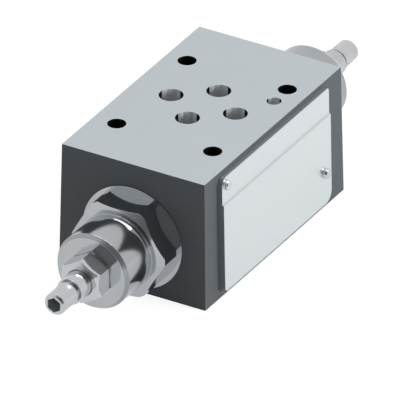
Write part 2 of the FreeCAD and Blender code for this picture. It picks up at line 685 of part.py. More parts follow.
CARTRIDGE_PIECES = {
    "cartridge_body": cartridge_body,
    "body_seal_ring": body_seal,
    "nose_seal_ring": nose_seal,
    "nose_backup_ring": nose_backup,
    "valve_seat": valve_seat,
    "poppet": poppet,
    "pressure_spring": pressure_spring,
    "spring_plate": spring_plate,
    "end_cap": end_cap,
    "adjusting_spindle": adjusting_spindle,
    "spindle_seal_ring": lambda: ring(SPINDLE_SEAL_S, SPINDLE_GROOVE_FLOOR, SPINDLE_SEAL_WIRE_DIAMETER),
    "lock_nut": lock_nut,
}

os.makedirs("parts", exist_ok=True)
export("valve_block", valve_block())
export("name_plate", name_plate())
export("plate_rivets", *[rivet(centre) for centre in rivet_places()])
export("port_seal_rings", *[port_seal(x, y) for x, y in port_places()])
for piece, build in CARTRIDGE_PIECES.items():
    shape = build()
    for side in SEAT_X:
        export(piece + "_" + side, place(shape, side))
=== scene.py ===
"""Looks of a hydraulic sandwich valve with a screw-in adjusting cartridge on each end.

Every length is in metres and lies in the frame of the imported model: X along the cartridges, Z up,
origin on the base face midway between ports P and T.
"""

from __future__ import annotations

import json
import logging
import math
from dataclasses import dataclass, field
from enum import Enum

import bmesh
import bpy
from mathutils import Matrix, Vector

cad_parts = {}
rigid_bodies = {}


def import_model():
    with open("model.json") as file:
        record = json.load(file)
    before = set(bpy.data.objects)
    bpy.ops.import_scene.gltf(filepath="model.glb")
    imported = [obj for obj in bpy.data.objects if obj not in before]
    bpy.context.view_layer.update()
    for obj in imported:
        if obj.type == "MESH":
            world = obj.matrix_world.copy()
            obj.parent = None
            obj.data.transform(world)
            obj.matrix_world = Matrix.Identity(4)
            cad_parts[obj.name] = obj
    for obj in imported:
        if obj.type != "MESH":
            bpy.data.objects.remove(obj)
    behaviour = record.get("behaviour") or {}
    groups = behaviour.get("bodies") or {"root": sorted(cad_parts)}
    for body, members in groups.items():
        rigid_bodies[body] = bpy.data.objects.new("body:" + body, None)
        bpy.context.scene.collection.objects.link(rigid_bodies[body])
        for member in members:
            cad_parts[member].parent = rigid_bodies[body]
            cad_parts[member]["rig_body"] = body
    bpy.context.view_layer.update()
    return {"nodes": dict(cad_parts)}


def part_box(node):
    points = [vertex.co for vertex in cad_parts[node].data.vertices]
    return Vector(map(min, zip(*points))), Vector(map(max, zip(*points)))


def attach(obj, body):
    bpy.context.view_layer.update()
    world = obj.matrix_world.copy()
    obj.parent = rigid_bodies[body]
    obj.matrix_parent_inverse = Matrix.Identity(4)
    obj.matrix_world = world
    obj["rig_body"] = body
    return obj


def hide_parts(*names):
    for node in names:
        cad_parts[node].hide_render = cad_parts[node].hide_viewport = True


LOG = logging.getLogger("sandwich_valve")
MM = 0.001
AXIS_HEIGHT = 16.8 * MM
Colour = tuple[float, float, float]
Triple = tuple[float, float, float]
Links = dict[str | int, bpy.types.NodeSocket]


class Side(Enum):
    """The end of the block that a cartridge is screwed into."""

    A = "a"
    B = "b"


class Lay(Enum):
    """The way that the fine marks of a metal surface run."""

    TURNED = "turned about the cartridge axis"
    ALONG_X = "straight along X"
    ALONG_Z = "straight along Z"


class BlockFace(Enum):
    """How a face of the block was made and the light or shade painted on it; the value is its place in the
    block's materials.
    """

    CAST = 0
    GROUND = 1
    # Painted light: port walls and floors take a bright copy of the machined iron.
    DRILLED = 2
    # Painted shade: near black in the bolt holes and on drilled strips that turn edge-on to the streak
    # direction.
    DARK_HOLE = 3
    # Painted light: a lighter copy of the casting on the pad's ledge and side walls.
    PAD_LEDGE = 4
    # Painted reflection: lighter strips on the drilled walls.
    LIGHT_STREAK = 5


class SheetFace(Enum):
    """Part of the name plate; the value is its place in the plate's materials."""

    FIELD = 0
    # Painted shade: the cut edges are darker than the sheet.
    CUT_EDGE = 1
    # Painted shade: the bend is darker than the sheet.
    BEND = 2


class CapFace(Enum):
    """Part of the end cap; the value is its place in the cap's materials."""

    END = 0
    # Painted shade: the chamfer and the wall take darker copies of the cap's plated steel.
    CHAMFER = 1
    WALL = 2


class StemFace(Enum):
    """Part of the spindle; the value is its place in the spindle's materials."""

    OUTSIDE = 0
    # Painted light: the socket takes a duller copy of the spindle steel, toned for the light in its recess.
    SOCKET = 1


class NodeSheet:
    """A tree of nodes that is built node by node."""

    def __init__(self, tree: bpy.types.NodeTree) -> None:
        """Take over a tree and empty it."""
        self.tree = tree
        self.tree.nodes.clear()

    def add(self, kind: str, links: Links | None = None, values: dict[str | int, object] | None = None,
            **settings: object) -> bpy.types.Node:
        """Add a node.

        Args:
            kind: The node's type.
            links: Sockets to link into its inputs, by input name or number.
            values: Values of its other inputs, by input name or number.
            **settings: Properties of the node.

        Returns:
            The node.
        """
        node = self.tree.nodes.new(kind)
        for key, value in settings.items():
            setattr(node, key, value)
        for key, value in (values or {}).items():
            node.inputs[key].default_value = value
        for key, socket in (links or {}).items():
            self.tree.links.new(socket, node.inputs[key])
        return node


class ShaderSheet(NodeSheet):
    """Shader nodes of one material, with its principled shader and its output."""

    ramp_ends = (0.3, 0.7)

    def __init__(self, name: str) -> None:
        """Start a material with nothing but a principled shader.

        Args:
            name: The material's name.
        """
        self.material = bpy.data.materials.new(name)
        self.material.use_nodes = True
        super().__init__(self.material.node_tree)
        self.shader = self.add("ShaderNodeBsdfPrincipled")
        self.add("ShaderNodeOutputMaterial", {"Surface": self.shader.outputs["BSDF"]})

    def set_shader(self, **values: float) -> None:
        """Set the shader's own sockets.

        Args:
            **values: Socket names, with an underscore for a space, and their values.
        """
        for name, value in values.items():
            title = name.replace("_", " ").title().replace("Ior", "IOR")
            self.shader.inputs[title].default_value = value

    def coordinates(self, scale: Triple = (1.0, 1.0, 1.0),
                    centre: Triple = (0.0, 0.0, 0.0)) -> bpy.types.NodeSocket:
        """Object coordinates about a centre, stretched along the axes.

        Args:
            scale: Stretch along X, Y and Z.
            centre: The pattern's centre, in metres.

        Returns:
            The vector socket.
        """
        source = self.add("ShaderNodeTexCoord")
        place = [-c * s for c, s in zip(centre, scale)]
        mapping = self.add(
            "ShaderNodeMapping", {"Vector": source.outputs["Object"]}, {"Scale": scale, "Location": place}
        )
        return mapping.outputs["Vector"]

    def noise(self, vector: bpy.types.NodeSocket, scale: float, detail: float = 2.0) -> bpy.types.NodeSocket:
        """Noise of a given scale.

        Args:
            vector: Where the noise is read.
            scale: Repeats per metre.
            detail: Octaves of finer noise.

        Returns:
            The value socket, from 0 to 1.
        """
        node = self.add("ShaderNodeTexNoise", {"Vector": vector}, {"Scale": scale, "Detail": detail})
        return node.outputs["Fac"]

    def rings(self, axis_height: float) -> bpy.types.NodeSocket:
        """Coordinates that are the same all round the cartridge axis: station and radius.

        Args:
            axis_height: Height of the axis over the base face, in metres.

        Returns:
            The vector socket.
        """
        centred = self.coordinates(centre=(0.0, 0.0, axis_height))
        split = self.add("ShaderNodeSeparateXYZ", {"Vector": centred})
        across = self.add("ShaderNodeCombineXYZ", {"X": split.outputs["Y"], "Y": split.outputs["Z"]})
        length = self.add("ShaderNodeVectorMath", {0: across.outputs["Vector"]}, operation="LENGTH")
        joined = self.add("ShaderNodeCombineXYZ", {"X": split.outputs["X"], "Y": length.outputs["Value"]})
        return joined.outputs["Vector"]

    def ramp(self, factor: bpy.types.NodeSocket, low: Colour, high: Colour) -> None:
        """Drive the base colour between two colours.

        Args:
            factor: Value socket from 0 to 1.
            low: Colour at a low value.
            high: Colour at a high value.
        """
        node = self.add("ShaderNodeValToRGB", {"Fac": factor})
        for stop, position, colour in zip(node.color_ramp.elements, self.ramp_ends, (low, high)):
            stop.position = position
            stop.color = (*colour, 1.0)
        self.tree.links.new(node.outputs["Color"], self.shader.inputs["Base Color"])

    def vary_roughness(self, factor: bpy.types.NodeSocket, low: float, high: float) -> None:
        """Drive the roughness between two values.

        Args:
            factor: Value socket from 0 to 1.
            low: Roughness at 0.
            high: Roughness at 1.
        """
        node = self.add("ShaderNodeMapRange", {"Value": factor}, {"To Min": low, "To Max": high})
        self.tree.links.new(node.outputs["Result"], self.shader.inputs["Roughness"])

    def bump(self, height: bpy.types.NodeSocket, strength: float, distance: float) -> None:
        """Tilt the surface by a height.

        Args:
            height: Value socket from 0 to 1.
            strength: Share of the bump that shows.
            distance: Height at a value of 1, in metres.
        """
        node = self.add("ShaderNodeBump", {"Height": height}, {"Strength": strength, "Distance": distance})
        self.tree.links.new(node.outputs["Normal"], self.shader.inputs["Normal"])


@dataclass(frozen=True)
class MetalFinish:
    """Bare or plated metal with fine marks."""

    name: str
    low: Colour
    high: Colour
    smooth: float
    rough: float
    lay: Lay
    metallic: float = 1.0
    mark_scale: float = 4000.0
    mark_detail: float = 3.0
    mark_depth: float = 0.004 * MM
    mark_strength: float = 0.3
    mark_stretch: float = 0.02
    cloud_scale: float = 90.0

    def build(self) -> bpy.types.Material:
        """Make the material: metal whose colour, roughness and height follow its marks.

        Returns:
            The material.
        """
        sheet = ShaderSheet(self.name)
        sheet.set_shader(metallic=self.metallic)
        if self.lay is Lay.TURNED:
            where = sheet.rings(AXIS_HEIGHT)
        elif self.lay is Lay.ALONG_X:
            where = sheet.coordinates((self.mark_stretch, 1.0, 1.0))
        else:
            where = sheet.coordinates((1.0, 1.0, self.mark_stretch))
        marks = sheet.noise(where, self.mark_scale, self.mark_detail)
        sheet.ramp(sheet.noise(sheet.coordinates(), self.cloud_scale), self.low, self.high)
        sheet.vary_roughness(marks, self.smooth, self.rough)
        sheet.bump(marks, self.mark_strength, self.mark_depth)
        return sheet.material


@dataclass(frozen=True)
class CastFinish:
    """Dark phosphated casting with a fine grain."""

    name: str
    low: Colour
    high: Colour
    roughness: float = 0.6
    specular: float = 0.15
    mottle_scale: float = 140.0
    mottle_detail: float = 4.0
    grain_scale: float = 2600.0
    grain_detail: float = 3.0
    grain_strength: float = 0.25
    grain_depth: float = 0.02 * MM

    def build(self) -> bpy.types.Material:
        """Make the material: dark, half-matt, with a cast grain.

        Returns:
            The material.
        """
        sheet = ShaderSheet(self.name)
        sheet.set_shader(metallic=0.0, roughness=self.roughness, specular_ior_level=self.specular)
        where = sheet.coordinates()
        sheet.ramp(sheet.noise(where, self.mottle_scale, self.mottle_detail), self.low, self.high)
        grain = sheet.noise(where, self.grain_scale, self.grain_detail)
        sheet.bump(grain, self.grain_strength, self.grain_depth)
        return sheet.material


@dataclass(frozen=True)
class SoftFinish:
    """Rubber or plastic of a seal."""

    name: str
    low: Colour
    high: Colour
    roughness: float
    mottle_scale: float = 900.0
    mottle_detail: float = 3.0
    grain_scale: float = 6000.0
    grain_strength: float = 0.15
    grain_depth: float = 0.01 * MM

    def build(self) -> bpy.types.Material:
        """Make the material: matt, with a faint mottle.

        Returns:
            The material.
        """
        sheet = ShaderSheet(self.name)
        sheet.set_shader(metallic=0.0, roughness=self.roughness)
        where = sheet.coordinates()
        sheet.ramp(sheet.noise(where, self.mottle_scale, self.mottle_detail), self.low, self.high)
        sheet.bump(sheet.noise(where, self.grain_scale), self.grain_strength, self.grain_depth)
        return sheet.material


@dataclass(frozen=True)
class Finishes:
    """All finishes of the valve, each built once."""

    cast: bpy.types.Material
    # Lighter copy of the casting: painted light on the pad, painted shade on the sheet's cut edges.
    ledge: bpy.types.Material
    ground: bpy.types.Material
    # Bright copies of the machined iron: painted light in the ports; the second adds painted reflection
    # strips.
    bore: bpy.types.Material
    bore_light: bpy.types.Material
    # Near black: painted shade in the bolt holes and on edge-on drilled strips.
    bolt_hole: bpy.types.Material
    sheet: bpy.types.Material
    # Darker copy of the sheet: painted shade on its bend.
    bend: bpy.types.Material
    rivet: bpy.types.Material
    plated: bpy.types.Material
    cap: bpy.types.Material
    # Darker copies of the cap's plated steel: painted shade on its wall and chamfer.
    cap_wall: bpy.types.Material
    chamfer: bpy.types.Material
    nut: bpy.types.Material
    spindle: bpy.types.Material
    # Duller copy of the spindle steel: painted light in its socket.
    socket: bpy.types.Material
    hardened: bpy.types.Material
    spring: bpy.types.Material
    rubber: bpy.types.Material
    backup: bpy.types.Material

    @classmethod
    def make(cls) -> Finishes:
        """Build every finish.

        Returns:
            The finished materials.
        """
        grey = (0.50, 0.52, 0.54)
        light_grey = (0.54, 0.56, 0.58)
        drill_marks = {"mark_scale": 1500.0, "mark_depth": 0.08 * MM, "mark_strength": 0.8}
        return cls(
            cast=CastFinish("phosphated_casting", (0.098, 0.108, 0.116), (0.104, 0.114, 0.122)).build(),
            ledge=CastFinish("phosphated_ledge", (0.20, 0.22, 0.24), (0.22, 0.24, 0.26), 0.3, 0.5).build(),
            ground=MetalFinish(
                "ground_face", (0.575, 0.625, 0.655), (0.585, 0.635, 0.665), 0.30, 0.34,
                Lay.ALONG_X, metallic=0.5,
            ).build(),
            bore=MetalFinish(
                "drilled_wall", (0.88, 0.91, 0.93), (0.92, 0.95, 0.97), 0.55, 0.70,
                Lay.ALONG_Z, metallic=0.65, **drill_marks,
            ).build(),
            bore_light=MetalFinish(
                "drilled_streak", (0.93, 0.96, 0.98), (0.94, 0.97, 0.99), 0.45, 0.60,
                Lay.ALONG_Z, metallic=0.3, **drill_marks,
            ).build(),
            bolt_hole=CastFinish("bolt_hole_wall", (0.004, 0.004, 0.004), (0.006, 0.006, 0.006), 0.9).build(),
            sheet=MetalFinish(
                "bare_sheet", (0.85, 0.90, 0.92), (0.86, 0.91, 0.93), 0.32, 0.36, Lay.ALONG_X
            ).build(),
            bend=MetalFinish(
                "sheet_bend", (0.66, 0.70, 0.72), (0.70, 0.74, 0.76), 0.32, 0.36, Lay.ALONG_X
            ).build(),
            rivet=MetalFinish(
                "rivet_head", (0.70, 0.72, 0.74), (0.76, 0.78, 0.80), 0.08, 0.12, Lay.ALONG_X
            ).build(),
            plated=MetalFinish("plated_steel", grey, light_grey, 0.08, 0.12, Lay.TURNED).build(),
            cap=MetalFinish("plated_cap", grey, light_grey, 0.11, 0.15, Lay.TURNED).build(),
            cap_wall=MetalFinish(
                "plated_cap_wall", (0.46, 0.48, 0.50), (0.50, 0.52, 0.54), 0.11, 0.15, Lay.TURNED
            ).build(),
            chamfer=MetalFinish(
                "turned_chamfer", (0.34, 0.36, 0.38), (0.38, 0.40, 0.42), 0.12, 0.16, Lay.TURNED
            ).build(),
            nut=MetalFinish(
                "plated_nut", (0.64, 0.66, 0.68), (0.68, 0.70, 0.72), 0.08, 0.12, Lay.TURNED, metallic=0.85
            ).build(),
            spindle=MetalFinish(
                "ground_spindle", (0.59, 0.61, 0.63), (0.67, 0.69, 0.71), 0.08, 0.14, Lay.TURNED
            ).build(),
            socket=MetalFinish(
                "socket_wall", (0.40, 0.42, 0.44), (0.50, 0.52, 0.54), 0.30, 0.40, Lay.TURNED, metallic=0.5
            ).build(),
            hardened=MetalFinish(
                "hardened_steel", (0.42, 0.43, 0.45), (0.50, 0.51, 0.53), 0.15, 0.22, Lay.TURNED
            ).build(),
            spring=MetalFinish(
                "spring_wire", (0.30, 0.31, 0.33), (0.38, 0.39, 0.41), 0.28, 0.36, Lay.TURNED
            ).build(),
            rubber=SoftFinish("seal_rubber", (0.010, 0.010, 0.010), (0.020, 0.020, 0.020), 0.55).build(),
            backup=SoftFinish("backup_ring_plastic", (0.75, 0.74, 0.70), (0.82, 0.81, 0.77), 0.45).build(),
        )


@dataclass(frozen=True)
class Lamp:
    """Rectangular lamp that shows only in reflections, or else only on matt surfaces."""

    name: str
    place: tuple[float, float, float]
    size: tuple[float, float]
    power: float
    in_reflections: bool

    def hang(self, target: Vector) -> None:
        """Hang the lamp so that it faces a point.

        Args:
            target: The point, in metres.
        """
        data = bpy.data.lights.new(self.name, "AREA")
        data.shape = "RECTANGLE"
        data.size, data.size_y = self.size
        data.energy = self.power
        lamp = bpy.data.objects.new(self.name, data)
        lamp.location = self.place
        lamp.rotation_mode = "QUATERNION"
        lamp.rotation_quaternion = (target - Vector(self.place)).to_track_quat("-Z", "Y")
        lamp.visible_camera = False
        lamp.visible_glossy = self.in_reflections
        lamp.visible_diffuse = not self.in_reflections
        bpy.context.scene.collection.objects.link(lamp)


@dataclass
class Studio:
    """Camera, light, floor and surroundings."""

    azimuth: float = -59.915
    elevation: float = 30.22
    target: tuple[float, float, float] = (-16.708 * MM, -8.636 * MM, 19.875 * MM)
    lens: float = 1700.0
    sensor: float = 36.0
    frame_width: float = 111.882 * MM
    floor_half_size: float = 3.0
    floor_depth: float = 0.02 * MM
    floor_in_view: float = 0.84
    floor_in_reflections: float = 0.55
    floor_shade: float = 0.35
    floor_bounce: float = 0.8
    # Brightness of the surroundings against the cosine of the angle from the camera's direction.
    surroundings: tuple[tuple[float, float], ...] = (
        (0.40, 0.82), (0.61, 0.78), (0.71, 0.45), (0.79, 0.31),
        (0.87, 0.25), (0.92, 0.16), (0.965, 0.10), (1.0, 0.07),
    )
    # A soft lamp in front of the plate side, and one overhead for the highlights.
    lamps: tuple[Lamp, ...] = (
        Lamp("side_lamp", (0.12, -0.9, 0.25), (0.3, 0.3), 5.9, in_reflections=False),
        Lamp("overhead_lamp", (0.2, 0.0, 0.98), (0.9, 0.3), 4.4, in_reflections=True),
    )

    def toward_camera(self) -> Vector:
        """Direction from the object towards the camera at rest.

        Returns:
            The unit vector.
        """
        a = math.radians(self.azimuth)
        e = math.radians(self.elevation)
        return Vector((math.sin(a) * math.cos(e), -math.cos(a) * math.cos(e), math.sin(e)))

    def build(self) -> None:
        """Make everything that isn't part of the object."""
        self._camera()
        self._world()
        self._floor()
        for lamp in self.lamps:
            lamp.hang(Vector(self.target))
        bpy.context.scene.view_settings.view_transform = "Standard"

    def _camera(self) -> None:
        """Camera with a very long lens, which sees the object nearly without perspective."""
        data = bpy.data.cameras.new("camera")
        data.lens = self.lens
        data.sensor_width = self.sensor
        camera = bpy.data.objects.new("camera", data)
        bpy.context.scene.collection.objects.link(camera)
        back = self.toward_camera()
        distance = self.frame_width * self.lens / self.sensor
        camera.location = Vector(self.target) + back * distance
        camera.rotation_mode = "QUATERNION"
        camera.rotation_quaternion = (-back).to_track_quat("-Z", "Y")
        bpy.context.scene.camera = camera

    def _world(self) -> None:
        """Surroundings, white in the picture; to the object they darken towards the camera's side."""
        world = bpy.data.worlds.new("surroundings")
        bpy.context.scene.world = world
        world.use_nodes = True
        sheet = NodeSheet(world.node_tree)
        source = sheet.add("ShaderNodeTexCoord")
        dot = sheet.add(
            "ShaderNodeVectorMath", {0: source.outputs["Generated"]}, {1: self.toward_camera()},
            operation="DOT_PRODUCT",
        )
        shade = sheet.add("ShaderNodeValToRGB", {"Fac": dot.outputs["Value"]})
        stops = shade.color_ramp.elements
        while len(stops) < len(self.surroundings):
            stops.new(1.0)
        for stop, (position, level) in zip(stops, self.surroundings):
            stop.position = position
            stop.color = (level, level, level, 1.0)
        lit = sheet.add("ShaderNodeBackground", {"Color": shade.outputs["Color"]})
        white = sheet.add("ShaderNodeBackground", values={"Color": (1.0, 1.0, 1.0, 1.0)})
        path = sheet.add("ShaderNodeLightPath")
        mix = sheet.add("ShaderNodeMixShader", {
            0: path.outputs["Is Camera Ray"],
            1: lit.outputs["Background"],
            2: white.outputs["Background"],
        })
        sheet.add("ShaderNodeOutputWorld", {"Surface": mix.outputs["Shader"]})

    def _floor(self) -> None:
        """Pale floor, white in the picture apart from the object's shadow, greyer in reflections."""
        half = self.floor_half_size
        mesh = bpy.data.meshes.new("floor")
        edge = [(-half, -half, 0.0), (half, -half, 0.0), (half, half, 0.0), (-half, half, 0.0)]
        mesh.from_pydata(edge, [], [(0, 1, 2, 3)])
        floor = bpy.data.objects.new("floor", mesh)
        bpy.context.scene.collection.objects.link(floor)
        floor.location.z = -self.floor_depth
        material = bpy.data.materials.new("pale_floor")
        material.use_nodes = True
        sheet = NodeSheet(material.node_tree)
        path = sheet.add("ShaderNodeLightPath")
        seen = sheet.add("ShaderNodeMath", {
            0: path.outputs["Is Camera Ray"], 1: path.outputs["Is Glossy Ray"],
        }, operation="MAXIMUM")
        level = sheet.add("ShaderNodeMapRange", {"Value": path.outputs["Is Camera Ray"]}, {
            "To Min": self.floor_in_reflections, "To Max": self.floor_in_view,
        })
        bounce = sheet.add("ShaderNodeBsdfDiffuse", values={"Color": (*[self.floor_bounce] * 3, 1.0)})
        shade = sheet.add("ShaderNodeBsdfDiffuse", values={"Color": (*[self.floor_shade] * 3, 1.0)})
        glow = sheet.add("ShaderNodeEmission", {"Strength": level.outputs["Result"]})
        both = sheet.add("ShaderNodeAddShader", {0: glow.outputs["Emission"], 1: shade.outputs["BSDF"]})
        mix = sheet.add("ShaderNodeMixShader", {
            0: seen.outputs["Value"], 1: bounce.outputs["BSDF"], 2: both.outputs["Shader"],
        })
        sheet.add("ShaderNodeOutputMaterial", {"Surface": mix.outputs["Shader"]})
        mesh.materials.append(material)


class GeometryTree(NodeSheet):
    """A geometry node tree with named inputs."""

    def __init__(self, name: str) -> None:
        """Start a tree that hands geometry in and out.

        Args:
            name: The tree's name.
        """
        super().__init__(bpy.data.node_groups.new(name, "GeometryNodeTree"))
        for way in ("INPUT", "OUTPUT"):
            self.tree.interface.new_socket("Geometry", in_out=way, socket_type="NodeSocketGeometry")
        self.values: dict[str, object] = {}
        self.source = self.add("NodeGroupInput")

    def add_input(self, name: str, kind: str, value: object) -> bpy.types.NodeSocket:
        """Add a named input and remember its value.

        Args:
            name: The input's name.
            kind: Its socket type.
            value: The value that the modifier gets.

        Returns:
            The socket to link from.
        """
        socket = self.tree.interface.new_socket(name, in_out="INPUT", socket_type=kind)
        self.values[socket.identifier] = value
        return next(out for out in self.source.outputs if out.identifier == socket.identifier)

    def add_point_pair(self, first: tuple[str, Triple], second: tuple[str, Triple]) -> bpy.types.NodeSocket:
        """Add two points on which something is repeated.

        Args:
            first: Name of the input that holds the first point, and its place in metres.
            second: The same for the second point.

        Returns:
            The socket of the mesh that holds the points.
        """
        line = self.add("GeometryNodeMeshLine", {
            "Start Location": self.add_input(first[0], "NodeSocketVector", first[1]),
            "Offset": self.add_input(second[0], "NodeSocketVector", second[1]),
        }, {"Count": 2}, mode="END_POINTS")
        return line.outputs["Mesh"]

    def finish(self, geometry: bpy.types.NodeSocket, material: bpy.types.Material) -> None:
        """End the tree in real geometry with a material.

        Args:
            geometry: The geometry, instances included.
            material: The material that it gets.
        """
        real = self.add("GeometryNodeRealizeInstances", {"Geometry": geometry})
        dressed = self.add(
            "GeometryNodeSetMaterial", {"Geometry": real.outputs["Geometry"]}, {"Material": material}
        )
        smooth = self.add("GeometryNodeSetShadeSmooth", {"Geometry": dressed.outputs["Geometry"]})
        self.add("NodeGroupOutput", {"Geometry": smooth.outputs["Geometry"]})

    def make_piece(self, name: str) -> bpy.types.Object:
        """Run the tree and turn the result into a plain mesh object.

        Args:
            name: The piece's name.

        Returns:
            The piece, at the origin and with no modifier.
        """
        maker = bpy.data.objects.new(name + "_maker", bpy.data.meshes.new(name + "_start"))
        bpy.context.scene.collection.objects.link(maker)
        modifier = maker.modifiers.new("shape", "NODES")
        modifier.node_group = self.tree
        for identifier, value in self.values.items():
            modifier[identifier] = value
        bpy.context.view_layer.update()
        graph = bpy.context.evaluated_depsgraph_get()
        mesh = bpy.data.meshes.new_from_object(maker.evaluated_get(graph))
        mesh.name = name
        bpy.data.objects.remove(maker)
        piece = bpy.data.objects.new(name, mesh)
        bpy.context.scene.collection.objects.link(piece)
        return piece


@dataclass
class Workshop:
    """Turns CAD nodes into dressed pieces and keeps count of them."""

    nodes: dict[str, bpy.types.Object]
    finishes: Finishes
    pieces: list[str] = field(default_factory=list)
    merge_distance: float = 0.001 * MM
    flat_angle: float = math.radians(0.2)
    most_sides: int = 4
    bevel_angle: float = math.radians(25)
    bevel_segments: int = 2

    def note(self, piece: bpy.types.Object, body: str) -> None:
        """Count a piece that is ready and report it with the body that it rides on."""
        self.pieces.append(piece.name)
        LOG.info("piece %s on body %s, %d faces", piece.name, body, len(piece.data.polygons))

    def dress(self, node: str, material: bpy.types.Material) -> None:
        """Give a CAD node that stays its material.

        Args:
            node: The node's name.
            material: Its material.
        """
        shown = self.nodes[node]
        shown.data.materials.clear()
        shown.data.materials.append(material)
        self.note(shown, shown["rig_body"])

    def refine(self, node: str, name: str, slot: str, materials: list[bpy.types.Material],
               edge: float, split: bool = False) -> bpy.types.Object:
        """Replace a CAD node by a welded copy with softened edges.

        Args:
            node: The node that it stands for.
            name: The piece's name.
            slot: The record's material slot; not used.
            materials: Its materials; all faces start with the first.
            edge: Width of the softened edge, in metres.
            split: Whether its many-sided faces are cut into triangles.

        Returns:
            The piece, riding on the node's body.
        """
        mesh = self.nodes[node].data.copy()
        mesh.name = name
        mesh.materials.clear()
        for material in materials:
            mesh.materials.append(material)
        self._weld(mesh, split)
        piece = bpy.data.objects.new(name, mesh)
        bpy.context.scene.collection.objects.link(piece)
        bevel = piece.modifiers.new("soft_edges", "BEVEL")
        bevel.width = edge
        bevel.segments = self.bevel_segments
        bevel.limit_method = "ANGLE"
        bevel.angle_limit = self.bevel_angle
        bevel.harden_normals = True
        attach(piece, self.nodes[node]["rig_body"])
        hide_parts(node)
        self.note(piece, self.nodes[node]["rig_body"])
        return piece

    def _weld(self, mesh: bpy.types.Mesh, split: bool) -> None:
        """Join loose triangles into whole, smoothly shaded faces.

        Args:
            mesh: The mesh.
            split: Whether its many-sided faces are cut into triangles again.
        """
        form = bmesh.new()
        form.from_mesh(mesh)
        bmesh.ops.remove_doubles(form, verts=form.verts, dist=self.merge_distance)
        bmesh.ops.dissolve_degenerate(form, dist=self.merge_distance, edges=form.edges)
        bmesh.ops.dissolve_limit(
            form, angle_limit=self.flat_angle, verts=form.verts, edges=form.edges, delimit={"MATERIAL"}
        )
        if split:
            many_sided = [face for face in form.faces if len(face.verts) > self.most_sides]
            bmesh.ops.triangulate(form, faces=many_sided)
        for face in form.faces:
            face.smooth = True
            face.material_index = 0
        form.to_mesh(mesh)
        form.free()
        if "custom_normal" in mesh.attributes:
            mesh.attributes.remove(mesh.attributes["custom_normal"])


@dataclass
class Block:
    """Cast block with ground faces, ports, bolt holes and the plate's pad."""

    shop: Workshop
    edge: float = 0.05 * MM
    bolt_holes: tuple[tuple[float, float], ...] = (
        (-21.5 * MM, 15.5 * MM),
        (19.0 * MM, 16.25 * MM),
        (19.0 * MM, -16.25 * MM),
        (-21.5 * MM, -15.5 * MM),
    )
    bolt_hole_radius: float = 2.7 * MM
    side_slack: float = 0.2 * MM
    face_slack: float = 0.01 * MM
    pad_depth: float = 3.0 * MM
    skin_depth: float = 5.0 * MM
    drilled_half_length: float = 36.0 * MM
    drilled_half_width: float = 22.0 * MM
    # Shares of a unit normal along one axis, by which a face is told from its neighbours.
    square_share: float = 0.999
    plate_side_share: float = 0.9
    floor_share: float = 0.5
    upright_share: float = 0.02
    # A drilled wall has painted reflection strips near this direction and opposite it, and painted shade,
    # near black, in between.
    streak_direction: float = math.radians(210)
    streak_cosine: float = 0.64
    streak_waves: tuple[float, float] = (23.0, 31.0)
    streak_shift: float = 1.0
    streak_level: float = 0.6

    def build(self) -> None:
        """Make the block and sort its faces by how they were machined and the light or shade painted on them.
        """
        finishes = self.shop.finishes
        finish_of = {
            BlockFace.CAST: finishes.cast,
            BlockFace.GROUND: finishes.ground,
            BlockFace.DRILLED: finishes.bore,
            BlockFace.DARK_HOLE: finishes.bolt_hole,
            BlockFace.PAD_LEDGE: finishes.ledge,
            BlockFace.LIGHT_STREAK: finishes.bore_light,
        }
        piece = self.shop.refine("valve_block", "block_casting", "block", in_order(finish_of), self.edge)
        low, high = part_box("valve_block")
        for face in piece.data.polygons:
            face.material_index = self._machining(face.center, face.normal, low, high).value

    def _machining(self, centre: Vector, normal: Vector, low: Vector, high: Vector) -> BlockFace:
        """How a face was made, and the light or shade painted on it.

        Args:
            centre: The face's centre.
            normal: Its outward normal.
            low: The block's lowest corner.
            high: The block's highest corner.

        Returns:
            The kind of face.
        """
        level = abs(normal.z) > self.square_share
        if level and min(centre.z - low.z, high.z - centre.z) < self.face_slack:
            return BlockFace.GROUND
        # Painted light: the pad's ledge and side walls get a lighter copy of the casting.
        if abs(normal.y) < self.plate_side_share and centre.y < low.y + self.pad_depth:
            return BlockFace.PAD_LEDGE
        # Painted shade: the bolt holes go near black.
        for x, y in self.bolt_holes:
            if math.hypot(centre.x - x, centre.y - y) < self.bolt_hole_radius + self.side_slack:
                return BlockFace.DARK_HOLE
        upright = abs(normal.z) < self.upright_share
        square = max(abs(normal.x), abs(normal.y)) > self.square_share
        depth = min(centre.x - low.x, high.x - centre.x, centre.y - low.y, high.y - centre.y)
        outside = upright and square and depth < self.skin_depth
        drilled = abs(centre.x) < self.drilled_half_length and abs(centre.y) < self.drilled_half_width
        # Painted light on the port walls and floors, with painted reflection strips and painted shade.
        return self._streak(normal) if drilled and not outside else BlockFace.CAST

    def _streak(self, normal: Vector) -> BlockFace:
        """Kind of one strip of a drilled wall: painted light, a painted reflection strip, or painted shade
        where it turns edge-on.

        Args:
            normal: The strip's normal.

        Returns:
            Painted light, painted shade or painted reflection.
        """
        if abs(normal.z) > self.floor_share:
            return BlockFace.DRILLED
        angle = math.atan2(normal.y, normal.x)
        # Painted shade: strips edge-on to the streak direction go near black.
        if abs(math.cos(angle - self.streak_direction)) < self.streak_cosine:
            return BlockFace.DARK_HOLE
        # Two waves of unlike pitch round the hole make an uneven row of painted reflection strips.
        wide, narrow = self.streak_waves
        wave = math.sin(wide * angle) + math.sin(narrow * angle + self.streak_shift)
        return BlockFace.LIGHT_STREAK if wave > self.streak_level else BlockFace.DRILLED


